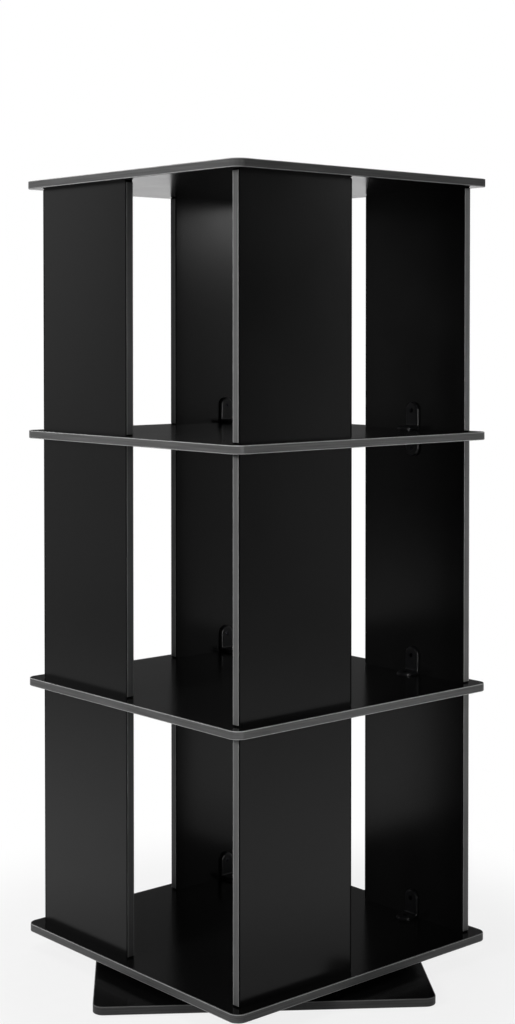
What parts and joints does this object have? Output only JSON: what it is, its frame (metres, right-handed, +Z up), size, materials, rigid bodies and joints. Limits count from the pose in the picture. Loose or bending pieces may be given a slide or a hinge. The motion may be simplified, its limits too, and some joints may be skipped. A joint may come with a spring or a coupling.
{
  "type": "revolving bookcase",
  "caption": "Tall square revolving bookcase: open tiers of black board with offset side panels turn together on a flat base through a ball swivel.",
  "frame": {"origin": "on the floor, on the vertical axis that the tower turns about", "axes": "+Z up; the tower's sides are square to X and Y, with the front towards -Y; the base board is turned 37.5 degrees clockwise, seen from above"},
  "size_m": [0.6626, 0.6626, 1.1794],
  "materials": {
    "black_board": "black laminated board, satin, with greyer machined edges",
    "bracket_plastic": "moulded black plastic",
    "plated_steel": "zinc plated pressed sheet",
    "ball_steel": "polished",
    "cage_nylon": "natural nylon",
    "pad_rubber": "matte anti-slip rubber"
  },
  "bodies": {
    "base": {"base_board": "black_board", "swivel_lower_plate": "plated_steel", "foot_pad_1": "pad_rubber", "foot_pad_2": "pad_rubber", "foot_pad_3": "pad_rubber", "foot_pad_4": "pad_rubber"},
    "cage": {"ball_cage": "cage_nylon", "bearing_ball_01": "ball_steel", "bearing_ball_02": "ball_steel", "bearing_ball_03": "ball_steel", "bearing_ball_04": "ball_steel", "bearing_ball_05": "ball_steel", "bearing_ball_06": "ball_steel", "bearing_ball_07": "ball_steel", "bearing_ball_08": "ball_steel", "bearing_ball_09": "ball_steel", "bearing_ball_10": "ball_steel", "bearing_ball_11": "ball_steel", "bearing_ball_12": "ball_steel"},
    "tower": {"swivel_upper_plate": "plated_steel", "bottom_board": "black_board", "lower_shelf": "black_board", "upper_shelf": "black_board", "top_board": "black_board", "bottom_front_panel": "black_board", "bottom_right_panel": "black_board", "bottom_back_panel": "black_board", "bottom_left_panel": "black_board", "middle_front_panel": "black_board", "middle_right_panel": "black_board", "middle_back_panel": "black_board", "middle_left_panel": "black_board", "top_front_panel": "black_board", "top_right_panel": "black_board", "top_back_panel": "black_board", "top_left_panel": "black_board", "bottom_front_panel_foot_bracket": "bracket_plastic", "bottom_front_panel_head_bracket": "bracket_plastic", "bottom_right_panel_foot_bracket": "bracket_plastic", "bottom_right_panel_head_bracket": "bracket_plastic", "bottom_back_panel_foot_bracket": "bracket_plastic", "bottom_back_panel_head_bracket": "bracket_plastic", "bottom_left_panel_foot_bracket": "bracket_plastic", "bottom_left_panel_head_bracket": "bracket_plastic", "middle_front_panel_foot_bracket": "bracket_plastic", "middle_front_panel_head_bracket": "bracket_plastic", "middle_right_panel_foot_bracket": "bracket_plastic", "middle_right_panel_head_bracket": "bracket_plastic", "middle_back_panel_foot_bracket": "bracket_plastic", "middle_back_panel_head_bracket": "bracket_plastic", "middle_left_panel_foot_bracket": "bracket_plastic", "middle_left_panel_head_bracket": "bracket_plastic", "top_front_panel_foot_bracket": "bracket_plastic", "top_right_panel_foot_bracket": "bracket_plastic", "top_back_panel_foot_bracket": "bracket_plastic", "top_left_panel_foot_bracket": "bracket_plastic"}
  },
  "joints": [
    {"name": "tower_spin", "type": "hinge", "parent": "base", "child": "tower", "pos_m": [0, 0, 0.0211], "axis": [0, 0, 1], "continuous": true},
    {"name": "cage_spin", "type": "hinge", "parent": "base", "child": "cage", "pos_m": [0, 0, 0.0211], "axis": [0, 0, 1], "continuous": true}
  ],
  "couplings": [
    {"joint": "cage_spin", "follows": "tower_spin", "ratio": 0.5}
  ]
}
